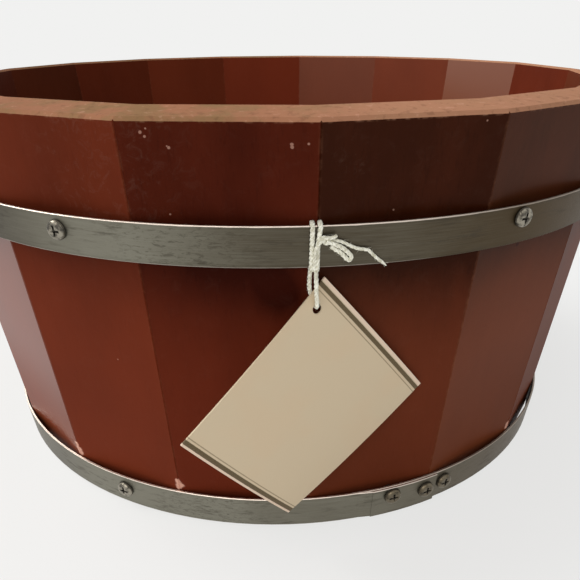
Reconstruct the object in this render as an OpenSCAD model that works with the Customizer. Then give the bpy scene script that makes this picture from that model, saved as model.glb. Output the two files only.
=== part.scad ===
// Wooden bucket: flat tapered staves, a board bottom, two strap hoops held by
// screws, and a card tag that hangs from the upper hoop on a thin string.
// Millimetres. +Z up. The origin is on the bucket's axis at the level of the
// staves' feet, and the side with the tag faces -Y. Turns are degrees about
// +Z, counted from -Y towards +X.

/* [Staves] */
// Number of staves round the bucket
stave_count = 17; // [14:1:20]
// Distance from the axis to a stave seam at the rim
rim_r = 146; // [136:1:156]
// Distance from the axis to a stave seam at the foot
foot_r = 124.5; // [116:0.5:130]
// Height of the rim's outer edge
stave_h = 146; // [142:1:155]
// Thickness of a stave board
stave_t = 13.5; // [11:0.5:15]
// Turn of the seam nearest the front
seam_turn = 4.3; // [4.1:0.1:4.6]
// Width of the easing along each outer seam edge
seam_ease = 0.4; // [0.2:0.1:0.8]
// Width of the easing along the rim's edges
rim_ease = 1; // [0.4:0.1:1.6]

/* [Bottom] */
// Height of the bottom board's underside above the feet
floor_z = 12; // [12:0.5:16]
// Thickness of the bottom board
floor_t = 8; // [6:0.5:10]
// Depth of the groove in the staves that holds the bottom board
floor_seat = 4; // [3:0.5:5]
// Gap between the bottom board's edge and the end of its groove
floor_play = 0.3; // [0.1:0.1:0.6]

/* [Hoops] */
// Thickness of the strap that both hoops are bent from
strap_t = 0.8; // [0.6:0.1:0.8]
// Width of the small bevel on the strap's edges
strap_ease = 0.15; // [0.1:0.05:0.2]
// Width of the strap
strap_w = 12.7; // [12.5:0.1:12.7]
// Distance up the wall from the foot to the upper hoop's lower edge
upper_s = 106.6; // [106.6:0.1:106.8]
// Gap between the upper hoop and the stave seams, which the string passes
upper_gap = 1.5; // [1.5:0.1:1.6]
// Distance up the wall from the foot to the lower hoop's lower edge
lower_s = 0.6; // [0.4:0.1:1]
// Gap between the lower hoop and the stave seams
lower_gap = 0.25; // [0.1:0.05:0.3]
// Turn over which a hoop's outer end lies on its inner end
lap_span = 12; // [11.5:0.5:13]
// Turn over which a hoop's strap rises onto its inner end
lap_rise = 3; // [2:0.5:5]
// Turn of the upper hoop's outer end
upper_end_turn = 211; // [210.6:0.1:212]
// Turn of the lower hoop's outer end
lower_end_turn = 26.6; // [26.4:0.1:26.8]

/* [Screws] */
// Radius of a screw's pan head
head_r = 3.2; // [2.6:0.1:3.3]
// Height of a screw's head
head_h = 1.6; // [1.2:0.1:2]
// Height of the straight part of the head's side
head_side_h = 0.5; // [0.3:0.1:0.7]
// Radius of a screw's shank
shank_r = 1.5; // [1.2:0.1:1.6]
// Length of a screw under its head, point included
shank_len = 12; // [10:0.5:12.5]
// Length of a screw's point
point_len = 3; // [2:0.5:4]
// Extra radius of the holes in the hoops over the shank
hole_play = 0.25; // [0.1:0.05:0.5]
// Width of one arm of the cross recess
cross_w = 0.8; // [0.6:0.1:1]
// Radius that the cross recess reaches at the head's top
cross_r = 1.9; // [1.4:0.1:2.1]
// Radius that the cross recess reaches at its floor
cross_floor_r = 0.6; // [0.4:0.1:0.8]
// Depth of the cross recess
cross_depth = 1; // [0.6:0.1:1.1]

/* [Tag] */
// Width of the card across its striped ends
card_w = 57; // [54:0.5:57]
// Length of the card from one striped end to the other
card_h = 60.7; // [58:0.1:61]
// Thickness of the card
card_t = 0.5; // [0.4:0.1:0.6]
// Radius of the card's slight curl
curl_r = 185; // [180:5:300]
// Turn of the curl's axis in the card's plane
curl_turn = 6; // [0:1:10]
// Radius of the hole in the card
eye_r = 1.5; // [1.5:0.1:1.7]
// Distance from the card's middle to the hole, towards its upper end
eye_up = 22.4; // [20:0.1:23]
// Distance from the card's middle to the hole, towards its left edge
eye_left = 24; // [21:0.1:24.5]
// Turn of the card about the upright through its hole
card_turn = 27.9; // [24:0.1:28.5]
// Lean of the card's lower end towards the wall
card_lean = 3.2; // [2:0.1:3.4]
// Turn of the card in its own plane about its hole
card_spin = 39.9; // [38:0.1:42]

/* [String] */
// Thickness of the string
string_d = 1.1; // [0.9:0.05:1.1]
// Share of its thickness that the string's frayed end keeps
fray_share = 0.5; // [0.3:0.1:0.8]
// Radius of the string's knot
knot_r = 1.2; // [1:0.1:1.4]

/* [Hidden] */
$fn = 96;
over = 1;
step = 360 / stave_count;
half_step = step / 2;
foot_flat = foot_r * cos(half_step);
rim_flat = rim_r * cos(half_step);
slope = atan((rim_r - foot_r) / stave_h);
face_slope = atan((rim_flat - foot_flat) / stave_h);
reach = 2 * rim_r;
groove_flat = foot_flat + floor_z * tan(face_slope)
    - stave_t / cos(face_slope) + floor_seat;
board_r = (groove_flat - floor_play) / cos(half_step);

// Turns of the screws in the hoops, and their places across the strap as
// shares of its width, counted from its lower edge
upper_screw_turns = [-26.6, 30.5, 86, 145, 201.5, 208.5, 261];
upper_screw_shares = [0.62, 0.69, 0.58, 0.58, 0.58, 0.58, 0.58];
lower_screw_turns = [-27.4, 18.1, 24.5, 28.6, 86, 145, 203, 261];
lower_screw_shares = [0.55, 0.72, 0.58, 0.57, 0.52, 0.52, 0.52, 0.52];

// String round the upper hoop: along the wall, out from it, and up it
string_turn = 4;
string_ref_r = 144;
tie_left_route = [
    [-1.27, 2.9, 107.6], [-1.22, 2.9, 110.5], [-1.18, 2.9, 113.5],
    [-1.15, 2.95, 116.5], [-1.13, 2.95, 119.3], [-1.13, 2.6, 119.85],
    [-1.13, 1.9, 120], [-1.13, 1.2, 119.85], [-1.13, 0.8, 119.3],
    [-1.15, 0.75, 116], [-1.18, 0.75, 113], [-1.22, 0.75, 110],
    [-1.27, 0.8, 106.7], [-1.27, 1.2, 106.05], [-1.27, 1.9, 105.9],
    [-1.27, 2.6, 106.05], [-1.27, 2.9, 106.7]
];
tie_right_route = [
    [0.43, 2.9, 107.6], [0.43, 2.9, 110.5], [0.45, 2.9, 113.5],
    [0.75, 2.95, 116.5], [1, 2.95, 119.3], [1, 2.6, 119.85],
    [1, 1.9, 120], [1, 1.2, 119.85], [1, 0.8, 119.3],
    [0.8, 0.75, 116], [0.6, 0.75, 113], [0.5, 0.75, 110],
    [0.43, 0.8, 106.7], [0.43, 1.2, 106.05], [0.43, 1.9, 105.9],
    [0.43, 2.6, 106.05], [0.43, 2.9, 106.7]
];
knot_spot = [2.4, 3.65, 115.7];
short_end_route = [[3.75, 3.75, 116.2], [4.6, 3.7, 116.5], [5.4, 3.6, 116.8]];
bight_route = [
    [3.5, 3.7, 114.85], [5, 3.65, 114.2], [6.8, 3.5, 113.2], [8.5, 3.3, 111.7],
    [9.6, 3.1, 110.4], [9.9, 3, 109.6], [9.5, 3, 109], [8.8, 3, 109.1],
    [7.6, 3.1, 110.5], [6.3, 3.2, 111.8], [4.9, 3.3, 112.7]
];
tail_route = [
    [4.3, 2.9, 115.3], [6.2, 2.9, 114.85], [8.4, 2.9, 113.85],
    [9.9, 2.9, 112.95], [11.9, 2.9, 112.2], [14.5, 2.9, 111.6],
    [15.7, 2.9, 110.5], [17.3, 2.9, 108.9], [19.1, 2.9, 107.4],
    [20.4, 2.9, 106.2]
];
// String down to the tag and back: along X, Y and Z
loop_route = [
    [10.1, -142.6, 103.3], [10.1, -143.6, 102.6], [10.1, -144.25, 101.6],
    [10.15, -144.05, 99.3], [10.25, -143.8, 97.1], [10.35, -143.6, 95.2],
    [10.4, -143.3, 94.1], [10.3, -142.8, 93.62], [10.15, -142.3, 93.5],
    [9.95, -141.75, 93.65], [9.75, -141.25, 94.25], [9.25, -141.1, 95.6],
    [8.6, -141.15, 97.4], [8.3, -141.4, 99.6], [8.3, -142.1, 101.8],
    [8.35, -142.6, 103.3]
];
// Middle of the tag's hole, along X, Y and Z
eye_spot = [10.43, -142.3, 92.85];

// Difference between two turns, from -180 to 180
function turn_gap(a, b) = (a - b + 540) % 360 - 180;

// Each screw's turn, its distance up the wall and the straps under its head
function spots(turns, shares, up, end_turn) = [
    for (k = [0 : len(turns) - 1])
        let(past_end = turn_gap(turns[k], end_turn))
        [
            turns[k],
            up + shares[k] * strap_w,
            past_end < 0 && past_end > -lap_span ? 2 : 1
        ]
];
upper_spots =
    spots(upper_screw_turns, upper_screw_shares, upper_s, upper_end_turn);
lower_spots =
    spots(lower_screw_turns, lower_screw_shares, lower_s, lower_end_turn);

// Point in a radial half plane, given out from the seam line and up it
function wall_rz(out, up) = [
    foot_r + out * cos(slope) + up * sin(slope),
    up * cos(slope) - out * sin(slope)
];

// Point of the string, given along the wall, out from it and up it
function wall_xyz(p) = let(
    a = string_turn + p[0] / string_ref_r * 180 / PI,
    q = wall_rz(p[1], p[2])
) [q[0] * sin(a), -q[0] * cos(a), q[1]];

function unit(v) = v / norm(v);
function square_to(u, t) = unit(u - (u * t) * t);

// Directions along a route at each of its points
function headings(p, closed) = let(n = len(p)) [
    for (i = [0 : n - 1])
        unit(
            p[closed ? (i + 1) % n : min(i + 1, n - 1)]
            - p[closed ? (i + n - 1) % n : max(i - 1, 0)]
        )
];

// Directions square to the route, carried along it without twist
function sides(t, first) = [
    for (
        i = 0, u = square_to(first, t[0]);
        i < len(t);
        i = i + 1, u = i < len(t) ? square_to(u, t[i]) : u
    ) u
];

// Tube along a route with a radius for each point
module tube(p, radii, closed = false, first = [1, 0, 0], ring = 8) {
    n = len(p);
    t = headings(p, closed);
    u = sides(t, first);
    points = [
        for (i = [0 : n - 1], k = [0 : ring - 1])
            let(a = 360 * k / ring)
            p[i] + radii[i] * (cos(a) * u[i] + sin(a) * cross(t[i], u[i]))
    ];
    last = closed ? n - 1 : n - 2;
    walls = [
        for (i = [0 : last], k = [0 : ring - 1])
            let(
                a = i * ring + k,
                b = i * ring + (k + 1) % ring,
                c = ((i + 1) % n) * ring + (k + 1) % ring,
                d = ((i + 1) % n) * ring + k
            )
            each [[a, c, b], [a, d, c]]
    ];
    caps = closed ? [] : [
        for (k = [1 : ring - 2])
            each [[0, k, k + 1], [(n - 1) * ring, (n - 1) * ring + k + 1, (n - 1) * ring + k]]
    ];
    polyhedron(points = points, faces = concat(walls, caps), convexity = 6);
}

// Frame on the wall at a turn, out from the seam line and up it; -Y is outward
module on_wall(turn, out, up)
    rotate([0, 0, turn])
    translate([0, -foot_r, 0])
    rotate([slope, 0, 0])
    translate([0, -out, up])
    children();

// Upright wedge from the axis between two turns
module wedge(from, to)
    linear_extrude(stave_h + stave_t)
    polygon([
        [0, 0],
        [reach * sin(from), -reach * cos(from)],
        [reach * sin(to), -reach * cos(to)]
    ]);

// Shank of a screw, from its head's seat inwards along -Z
module shank() {
    translate([0, 0, -shank_len])
    cylinder(r1 = 0, r2 = shank_r, h = point_len);
    translate([0, 0, point_len - shank_len])
    cylinder(r = shank_r, h = shank_len - point_len);
}

// Recess in the top of a screw's head
module cross_recess()
    translate([0, 0, head_h - cross_depth])
    intersection() {
        union() {
            translate([-reach, -cross_w / 2, 0])
            cube([2 * reach, cross_w, cross_depth + over]);
            translate([-cross_w / 2, -reach, 0])
            cube([cross_w, 2 * reach, cross_depth + over]);
        }
        cylinder(
            r1 = cross_floor_r,
            r2 = cross_r + (cross_r - cross_floor_r) * over / cross_depth,
            h = cross_depth + over
        );
    }

// Pan head screw, seated at the origin and pointing along -Z
module screw() {
    round_h = head_h - head_side_h;
    difference() {
        union() {
            rotate_extrude()
            polygon(concat(
                [[0, 0], [head_r - strap_ease, 0], [head_r, strap_ease]],
                [
                    for (a = [0 : 15 : 75])
                        [
                            head_r - round_h * (1 - cos(a)),
                            head_side_h + round_h * sin(a)
                        ]
                ],
                [[head_r - round_h, head_h], [0, head_h]]
            ));
            shank();
        }
        cross_recess();
    }
}

// Children at each screw's seat on a hoop, with +Z outward
module at_spots(spots, gap)
    for (p = spots)
        on_wall(p[0], gap + p[2] * strap_t, p[1])
        rotate([90, 0, 0])
        children();

// Band of one or more layers of strap, all the way round on the wall's slope
module band(out, up, w, t = strap_t, layers = 1) {
    lower = [
        for (k = [1 : layers])
            each [
                wall_rz(out + (k - 1) * t + strap_ease, up),
                wall_rz(out + k * t - strap_ease, up),
                wall_rz(out + k * t, up + strap_ease)
            ]
    ];
    upper = [
        for (k = [layers : -1 : 1])
            each [
                wall_rz(out + k * t, up + w - strap_ease),
                wall_rz(out + k * t - strap_ease, up + w),
                wall_rz(out + (k - 1) * t + strap_ease, up + w)
            ]
    ];
    start = [wall_rz(out, up + strap_ease)];
    end = [wall_rz(out, up + w - strap_ease)];
    rotate_extrude($fn = 180)
    polygon(concat(start, lower, upper, end));
}

// Strap hoop whose outer end, at end_turn, laps the inner one on its lower side
module hoop(gap, up, end_turn, spots) {
    lap_turn = end_turn - lap_span;
    // the rise is a stretch of a wider band, set off the axis, that leaves one
    // strap and runs into the other a skin under their faces
    skin = strap_t / 6;
    run_in = lap_rise / 12;
    shift = strap_t / sin(lap_rise);
    shift_turn = lap_turn - lap_rise + 90;
    middle_r = wall_rz(gap + skin, up + strap_w / 2)[0];
    wider = norm([middle_r, shift]) - middle_r;
    difference() {
        union() {
            band(gap, up, strap_w);
            intersection() {
                band(gap, up, strap_w, layers = 2);
                wedge(lap_turn, end_turn);
            }
            intersection() {
                translate([shift * sin(shift_turn), -shift * cos(shift_turn), 0])
                band(
                    gap + skin + wider * cos(slope),
                    up + skin + wider * sin(slope),
                    strap_w - 2 * skin,
                    strap_t - 2 * skin
                );
                wedge(lap_turn - lap_rise, lap_turn + run_in);
            }
        }
        at_spots(spots, gap)
        translate([0, 0, -over - 2 * strap_t])
        cylinder(r = shank_r + hole_play, h = 2 * over + 2 * strap_t);
    }
}

// Plank in the plane of a stave's face, from its foot to the rim, open below
module plank()
    translate([0, -foot_flat, 0])
    rotate([face_slope, 0, 0])
    translate([-reach / 2, 0, 0])
    children();

// One stave, number k counted to the right from the front seam
module stave(k) {
    middle = seam_turn + (k - 0.5) * step;
    face_h = stave_h / cos(face_slope);
    color("sienna")
    difference() {
        rotate([0, 0, middle])
        difference() {
            intersection() {
                plank()
                translate([0, 0, -stave_h])
                cube([reach, stave_t, stave_h + face_h]);
                wedge(-half_step, half_step);
            }
            // groove for the bottom board
            translate([-reach / 2, -groove_flat, floor_z])
            cube([reach, reach, floor_t]);
            // eased seam edges
            for (side = [-1, 1])
                rotate([0, 0, side * half_step])
                translate([0, -foot_r, 0])
                rotate([slope, 0, 0])
                translate([0, 0, -over])
                linear_extrude(2 * stave_h)
                circle(r = seam_ease, $fn = 4);
            // eased rim edges
            for (y = [0, stave_t])
                plank()
                translate([0, y, face_h])
                rotate([0, 90, 0])
                linear_extrude(reach)
                circle(r = rim_ease, $fn = 4);
        }
        for (p = upper_spots)
            if (abs(turn_gap(p[0], middle)) < half_step)
                at_spots([p], upper_gap)
                shank();
        for (p = lower_spots)
            if (abs(turn_gap(p[0], middle)) < half_step)
                at_spots([p], lower_gap)
                shank();
    }
}

module bottom_board()
    color("peru")
    translate([0, 0, floor_z])
    linear_extrude(floor_t)
    polygon([
        for (k = [0 : stave_count - 1])
            let(a = seam_turn + k * step)
            [board_r * sin(a), -board_r * cos(a)]
    ]);

module upper_hoop()
    color("dimgray")
    hoop(upper_gap, upper_s, upper_end_turn, upper_spots);

module lower_hoop()
    color("dimgray")
    hoop(lower_gap, lower_s, lower_end_turn, lower_spots);

module upper_hoop_screws()
    color("silver")
    at_spots(upper_spots, upper_gap)
    screw();

module lower_hoop_screws()
    color("silver")
    at_spots(lower_spots, lower_gap)
    screw();

// Radius at each point of a route, with a share of it at the last
function even(route, last_share = 1) = [
    for (i = [0 : len(route) - 1])
        string_d / 2 * (i == len(route) - 1 ? last_share : 1)
];

function on_string(route) = [for (p = route) wall_xyz(p)];

module string_tie()
    color("ivory") {
        tube(on_string(tie_left_route), even(tie_left_route), true);
        tube(on_string(tie_right_route), even(tie_right_route), true);
        translate(wall_xyz(knot_spot))
        sphere(r = knot_r, $fn = 48);
        tube(on_string(short_end_route), even(short_end_route), first = [0, 1, 0]);
        tube(on_string(bight_route), even(bight_route), first = [0, 1, 0]);
        tube(on_string(tail_route), even(tail_route, fray_share), first = [0, 1, 0]);
    }

module string_loop()
    color("ivory")
    tube(loop_route, even(loop_route));

// Card with its hole's middle at eye_spot, curled about an axis behind it
module hang_tag() {
    spun_left = [
        eye_up * cos(card_spin) - eye_left * sin(card_spin),
        eye_up * sin(card_spin) + eye_left * cos(card_spin)
    ];
    off_axis = spun_left[1] * cos(curl_turn) - spun_left[0] * sin(curl_turn);
    rise = curl_r - sqrt(curl_r * curl_r - off_axis * off_axis);
    color("tan")
    translate(eye_spot)
    rotate([90 + card_lean, 0, card_turn])
    difference() {
        intersection() {
            rotate([0, 0, card_spin])
            translate([-card_h / 2 - eye_up, -card_w / 2 - eye_left, -card_w / 2])
            cube([card_h, card_w, card_w]);
            translate([-spun_left[0], -spun_left[1], rise - curl_r])
            rotate([0, 0, curl_turn])
            rotate([0, 90, 0])
            difference() {
                cylinder(r = curl_r + card_t / 2, h = 4 * card_h, center = true, $fn = 360);
                cylinder(r = curl_r - card_t / 2, h = 5 * card_h, center = true, $fn = 360);
            }
        }
        translate([0, 0, -card_w / 4])
        cylinder(r = eye_r, h = card_w / 2);
    }
}

stave(1);  // stave_01
stave(2);  // stave_02
stave(3);  // stave_03
stave(4);  // stave_04
stave(5);  // stave_05
stave(6);  // stave_06
stave(7);  // stave_07
stave(8);  // stave_08
stave(9);  // stave_09
stave(10);  // stave_10
stave(11);  // stave_11
stave(12);  // stave_12
stave(13);  // stave_13
stave(14);  // stave_14
stave(15);  // stave_15
stave(16);  // stave_16
stave(17);  // stave_17
bottom_board();
upper_hoop();
lower_hoop();
upper_hoop_screws();
lower_hoop_screws();
string_tie();
string_loop();
hang_tag();
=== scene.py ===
"""Looks of the wooden bucket, built round its packed model.

Blender 4.5, metres, +Z up. The origin is on the bucket's axis at the level of
the staves' feet, and the side with the tag faces -Y. Turns are counted from
-Y towards +X.
"""

import collections
import functools
import math
import random

import bpy
from mathutils import Matrix, Vector


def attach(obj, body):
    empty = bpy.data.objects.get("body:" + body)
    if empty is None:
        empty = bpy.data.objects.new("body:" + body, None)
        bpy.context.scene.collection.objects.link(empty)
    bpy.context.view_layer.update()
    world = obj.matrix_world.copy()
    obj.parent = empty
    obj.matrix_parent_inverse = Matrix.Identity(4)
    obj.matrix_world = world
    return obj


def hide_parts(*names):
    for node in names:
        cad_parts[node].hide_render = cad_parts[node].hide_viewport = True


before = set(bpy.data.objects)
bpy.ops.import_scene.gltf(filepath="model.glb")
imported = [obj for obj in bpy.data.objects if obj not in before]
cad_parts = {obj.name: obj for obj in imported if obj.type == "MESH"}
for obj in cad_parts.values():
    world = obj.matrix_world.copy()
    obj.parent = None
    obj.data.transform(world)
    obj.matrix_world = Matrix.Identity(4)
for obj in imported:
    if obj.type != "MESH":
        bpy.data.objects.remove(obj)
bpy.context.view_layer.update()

bl_info = {
    "name": "Wooden Bucket",
    "version": (1, 0, 0),
    "blender": (4, 5, 0),
    "location": "View3D > Sidebar > Bucket",
    "description": "Finishes, string and stage of a wooden bucket",
    "category": "Object",
}

# The bucket's own sizes, as its source gives them. Staves are counted to the
# right from the front seam.
STAVES = sum(name.startswith("stave_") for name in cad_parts)
RIM_R = 0.146
FOOT_R = 0.1245
STAVE_H = 0.146
SEAM_TURN = math.radians(4.3)
SLOPE = math.atan((RIM_R - FOOT_R) / STAVE_H)
STEP = math.tau / STAVES
STRAP_T = 0.0008
STRAP_W = 0.0127
STRING_D = 0.0011
MILLI = 0.001

# Each hoop: how far up the wall it starts, the gap behind it, how clean its
# steel is, how soiled its screws are, and where its lap ends, in degrees
Hoop = collections.namedtuple("Hoop", "foot gap clean soiled lap_end")
HOOPS = {
    "upper": Hoop(foot=0.1066, gap=0.0015, clean=0.17, soiled=0.10, lap_end=-149),
    "lower": Hoop(foot=0.0006, gap=0.00025, clean=0.70, soiled=0.80, lap_end=26.6),
}
LAP_TURN = 12
LAP_BLUR = 0.01

# Card: the middle of its hole, its turns about X, Z and its own face, and how
# far its striped ends are from the hole
EYE = Vector((0.01043, -0.1423, 0.09285))
CARD_TURNS = (math.radians(93.2), math.radians(27.9), math.radians(39.9))
CARD_TOP = 0.00795
CARD_FOOT = -0.05275
# How far in from the top and the foot the broad stripe and the thin line are
CARD_LINES = ((0.0021, 0.0038), (0.0014, 0.0029))
# How far the ink's edges wander, and how soft they are
INK_RAG = 0.00016
INK_BLUR = 0.00008
MARGIN_TO = (0.0009, 0.0013)

# String on the wall: along it, out from it and up it, in millimetres
STRING_TURN = math.radians(4)
STRING_REF_R = 0.144
TIE_LEFT = [
    (-1.18, 0.75, 113), (-1.22, 0.75, 110), (-1.27, 0.8, 106.7),
    (-1.27, 1.2, 106.05), (-1.27, 1.9, 105.9), (-1.27, 2.6, 106.05),
    (-1.27, 2.9, 106.7), (-1.27, 2.9, 107.6), (-1.22, 2.9, 110.5),
    (-1.18, 2.9, 113.5), (-1.15, 2.95, 116.5), (-1.13, 2.95, 119.3),
    (-1.13, 2.6, 119.85), (-1.13, 1.9, 120), (-1.13, 1.2, 119.85),
    (-1.13, 0.8, 119.3), (-1.15, 0.75, 116), (-1.18, 0.75, 113),
]
TIE_RIGHT = [
    (0.6, 0.75, 113), (0.5, 0.75, 110), (0.43, 0.8, 106.7),
    (0.43, 1.2, 106.05), (0.43, 1.9, 105.9), (0.43, 2.6, 106.05),
    (0.43, 2.9, 106.7), (0.43, 2.9, 107.6), (0.43, 2.9, 110.5),
    (0.45, 2.9, 113.5), (0.75, 2.95, 116.5), (1, 2.95, 119.3),
    (1, 2.6, 119.85), (1, 1.9, 120), (1, 1.2, 119.85),
    (1, 0.8, 119.3), (0.8, 0.75, 116), (0.6, 0.75, 113),
]
KNOT = (2.4, 3.65, 115.7)
KNOT_SIZE = (0.40, 0.42, 0.36)
KNOT_POINTS = 60
SHORT_END = [(3.2, 3.7, 116), (3.75, 3.75, 116.2), (4.6, 3.7, 116.5), (5.4, 3.6, 116.8)]
BETWEEN = [
    (1.3, 3.4, 115.2), (0.5, 3.45, 114.3), (-0.2, 3.5, 112.6), (-0.45, 3.5, 110.4),
    (-0.45, 3.3, 108.4), (-0.42, 3.05, 106.9), (-0.42, 2.7, 106.1),
    (-0.42, 2, 105.85), (-0.42, 1.3, 106),
]
BIGHT = [
    (3.1, 3.7, 115.1), (3.5, 3.7, 114.85), (5, 3.65, 114.2), (6.8, 3.5, 113.2),
    (8.5, 3.3, 111.7), (9.6, 3.1, 110.4), (9.9, 3, 109.6), (9.5, 3, 109),
    (8.8, 3, 109.1), (7.6, 3.1, 110.5), (6.3, 3.2, 111.8), (4.9, 3.3, 112.7),
    (3.9, 3.4, 113.6),
]
TAIL = [
    (3.2, 3.2, 115.5), (4.3, 2.9, 115.3), (6.2, 2.9, 114.85), (8.4, 2.9, 113.85),
    (9.9, 2.9, 112.95), (11.9, 2.9, 112.2), (14.5, 2.9, 111.6),
    (15.7, 2.9, 110.5), (17.3, 2.9, 108.9), (19.1, 2.9, 107.4),
    (20.4, 2.9, 106.2),
]
# String down to the card and back: X, Y and Z, in millimetres
LOOP = [
    (10.25, -142.2, 104.4), (10.1, -142.8, 103.4), (10.1, -143.6, 102.6),
    (10.1, -144.25, 101.6), (10.15, -144.05, 99.3), (10.25, -143.8, 97.1),
    (10.35, -143.6, 95.2), (10.4, -143.3, 94.1), (10.3, -142.8, 93.62),
    (10.15, -142.3, 93.5), (9.95, -141.75, 93.65), (9.75, -141.25, 94.25),
    (9.25, -141.1, 95.6), (8.6, -141.15, 97.4), (8.3, -141.4, 99.6),
    (8.3, -142.1, 101.8), (8.35, -142.6, 103.3), (8.6, -142.2, 104.4),
]
LOOP_SIZE = 1.1

# String: points in one twist, and each ply's radius and distance from the
# middle, as shares of the string's thickness. It is tapered over so many
# thicknesses at its ends.
TWIST_POINTS = 14
PLY_R = 0.29
PLY_OUT = 0.25
PLY_SIDES = 8
TAPER_LENGTH = 2
# Routes: points from one given point to the next, and a length that counts as none
FINE_POINTS = 12
TINY = 1e-9

# Fibres: how far they lean and bend, their least and greatest length, and
# where they leave the string, as shares; and their radii from foot to tip
FIBRE_LEAN = 1.6
FIBRE_BEND = 0.6
FIBRE_LEAST = 0.3
FIBRE_MOST = 0.8
FIBRE_FOOT = 0.42
FIBRE_RADII = (0.00004, 0.000032, 0.000014)
FIBRE_SIDES = 3
FIBRE_SEED = 11

# Each stave's stain from 0, dark, to 1, light, at its foot, at its rim and inside. This is
# partly the wood's own stain and partly painted light: the outside is painted lighter towards
# the foot, as if lit from the floor; the inside staves are painted lighter or darker by how
# the light falls on them, with a painted sheen on the sixth; and the stave with the most
# varnish outside is painted lighter for its sheen. Then how brown it is from 0, red, to 1;
# and how much varnish it still has outside and inside
STAVE_STAIN_AND_SHADE = [
    (0.57, 0.00, 0.50, 0.40, 0.05, 0), (0.73, 0.17, 0.50, 0.70, 0.14, 0),
    (0.60, 0.42, 0.50, 0.55, 0.08, 0), (0.50, 0.40, 0.50, 0.40, 0, 0),
    (0.55, 0.40, 0.58, 0.00, 0, 0), (0.48, 0.42, 1.05, 0.95, 0, 1.00),
    (0.60, 0.50, 0.90, 0.30, 0, 0.20), (0.52, 0.45, 1.00, 0.55, 0, 0.22),
    (0.62, 0.50, 0.98, 0.00, 0, 0), (0.45, 0.40, 0.66, 0.15, 0, 0),
    (0.58, 0.48, 0.52, 0.15, 0, 0), (0.50, 0.42, 0.36, 0.35, 0, 0),
    (0.60, 0.50, 0.35, 0.20, 0, 0), (0.55, 0.45, 0.40, 0.20, 0, 0),
    (0.92, 0.88, 0.45, 0.35, 0.76, 0), (0.71, 0.52, 0.50, 0.10, 0, 0),
    (0.54, 0.20, 0.50, 0.00, 0, 0),
]
# Painted shadows just below the upper hoop, one of them left of the tag, and small marks: how
# many staves they are from the front seam, how far up the wall, their size, and the depth of
# a painted shadow
SHADOW_PATCHES = [(-0.18, 0.0950, 0.010, 0.34), (-0.45, 0.1020, 0.020, 0.26)]
CHIPS = [
    (-2.01, 0.0185, 0.0017), (-2, 0.0165, 0.0022), (-1.99, 0.0148, 0.0020),
    (-1.01, 0.0172, 0.0015), (-1, 0.0154, 0.0022), (-1.01, 0.0142, 0.0016),
    (2, 0.0148, 0.0022), (1.99, 0.0160, 0.0016),
]
FLECKS = [
    (-0.875, 0.1437, 0.0007), (-0.856, 0.1426, 0.0005), (-0.846, 0.1447, 0.0004),
    (-0.744, 0.1397, 0.0006), (-0.752, 0.1401, 0.0004), (-0.136, 0.1409, 0.0006),
    (-0.135, 0.1401, 0.0006), (-0.056, 0.1410, 0.0005), (0.880, 0.1449, 0.0004),
    (-0.782, 0.1208, 0.0004), (-1.327, 0.0669, 0.0005), (0.419, 0.1211, 0.0004),
]
PITS = [(1.384, 0.1031, 0.0011), (-0.450, 0.1150, 0.0006)]
SCUFFS = [(-0.87, 0.1430, 0.011), (-1.16, 0.1330, 0.032), (0.17, 0.1355, 0.008)]

# Core and edge of a chip, a fleck or a pit, and of a scuff, as shares of its size
SPOT_EDGE = (0.45, 0.9)
SCUFF_EDGE = (0.3, 1)

# Heights on the staves over which their look changes
STAIN_AND_SHADE_FADE = (0.060, 0.118)
VARNISH_FADE = (0.020, 0.062)
# Band just below the upper hoop where its shadow is painted on the staves
HOOP_SHADOW_ON = (0.084, 0.1035)
HOOP_SHADOW_OFF = (0.1045, 0.106)
RIM_FROM = (STAVE_H - 0.0042, STAVE_H - 0.0032)
RIM_EDGE_FROM = (STAVE_H - 0.0016, STAVE_H - 0.0009)
# Places along X over which the rim and the hoops change
RIM_PAINTED_SHADE_TO = (-0.10, -0.03)
RIM_PAINTED_LIGHT_FROM = (-0.02, 0.04)
DARKER_LEFT_TO = (-0.090, -0.066)
HIGHLIGHT_AT = -0.050
HIGHLIGHT_REACH = 0.052
MOTTLED_AT = -0.027
MOTTLED_REACH = (0.006, 0.030)
TARNISH_AND_SHADE_FROM = (0.02, 0.100)
HIGHLIGHT_FADE_FROM = (0.02, 0.08)
SOILED_FROM = (-0.02, 0.02)
# Distances from a seam that is rubbed; from a hoop's edges that are sooty, or worn bright
# with a painted highlight; and from its upper edge where the lower part starts
SEAM_RUB = (0.0001, 0.0009)
SOOTY_EDGE = (0.0003, 0.0016)
WORN_EDGE = (0.00020, 0.00040)
LOWER_PART = (0.004, 0.006)
# Heights above a screw's seat: the foot of its head, dirty and painted with shade, and its
# recess
HEAD_FOOT = (0.0001, 0.0009)
RECESS_WALLS = (0.00065, 0.00072)
RECESS_FLOOR = (0.0010, 0.0012)
# Stretch of the grain and the clouds along a stave, and their shift on each
GRAIN_STRETCH = 0.05
CLOUD_STRETCH = 0.45
GRAIN_SHIFT = (0.37, 0.61)
CLOUD_SHIFT = (0.53, 0.29)
# The same on the bottom, and the width of its narrow boards
BOARD_W = 0.062
BOARD_STRETCH = 0.06
BOARD_SHIFT = (0.7, 1.9)

# Wear and dirt, and the colours of the rim's painted light and shade and of the screws'
# painted shade and dirt
RIM_PAINTED_LIGHT = (0.42, 0.208, 0.124, 1)
RIM_PAINTED_SHADE = (0.22, 0.098, 0.055, 1)
SOILED_RIM = (0.12, 0.055, 0.030, 1)
SCUFFED = (0.40, 0.26, 0.20, 1)
BROWN_TARNISH = (0.068, 0.039, 0.012, 1)
SCREW_SOIL = (0.11, 0.085, 0.05, 1)
SCREW_DIRT_AND_SHADE = (0.016, 0.013, 0.009, 1)

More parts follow.
